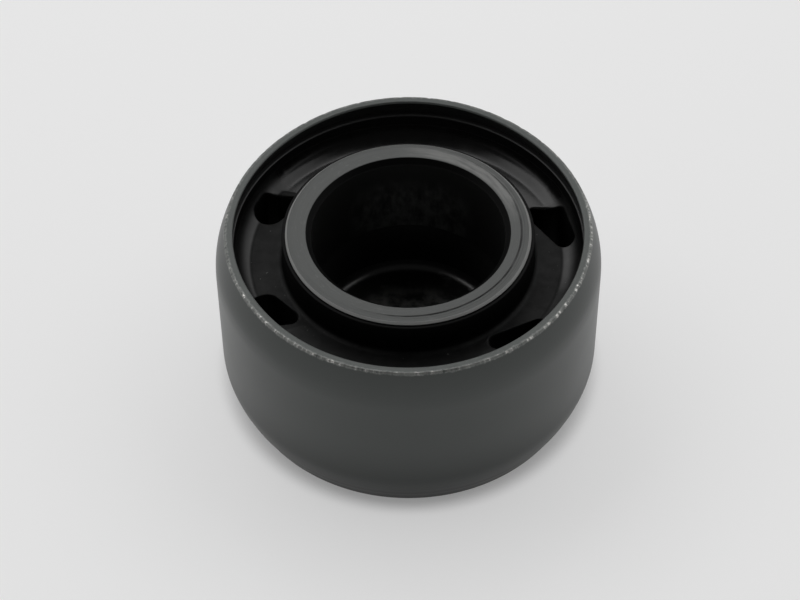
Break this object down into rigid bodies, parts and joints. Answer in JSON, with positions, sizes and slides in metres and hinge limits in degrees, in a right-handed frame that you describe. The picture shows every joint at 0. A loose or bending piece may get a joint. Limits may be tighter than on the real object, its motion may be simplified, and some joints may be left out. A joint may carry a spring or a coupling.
{
  "type": "differential mount",
  "caption": "Round rubber-metal bush: a rolled outer sleeve that presses into a housing, a bonded rubber element with voids, and a counterbored inner sleeve that a bolt clamps.",
  "frame": {"origin": "on the bush's axis, in the plane of the foot it stands on", "axes": "+Z along the axis out of the counterbore's mouth, +X through the middle of the two arms"},
  "size_m": [0.068, 0.068, 0.035],
  "materials": {
    "sleeve_steel": "grey phosphate coat, satin, worn bare on the rim",
    "black_rubber": "smooth moulded, semi-gloss",
    "turned_steel": "turned and phosphated, dull"
  },
  "bodies": {
    "root": {"outer_sleeve": "sleeve_steel", "rubber_element": "black_rubber", "inner_sleeve": "turned_steel"}
  },
  "joints": []
}
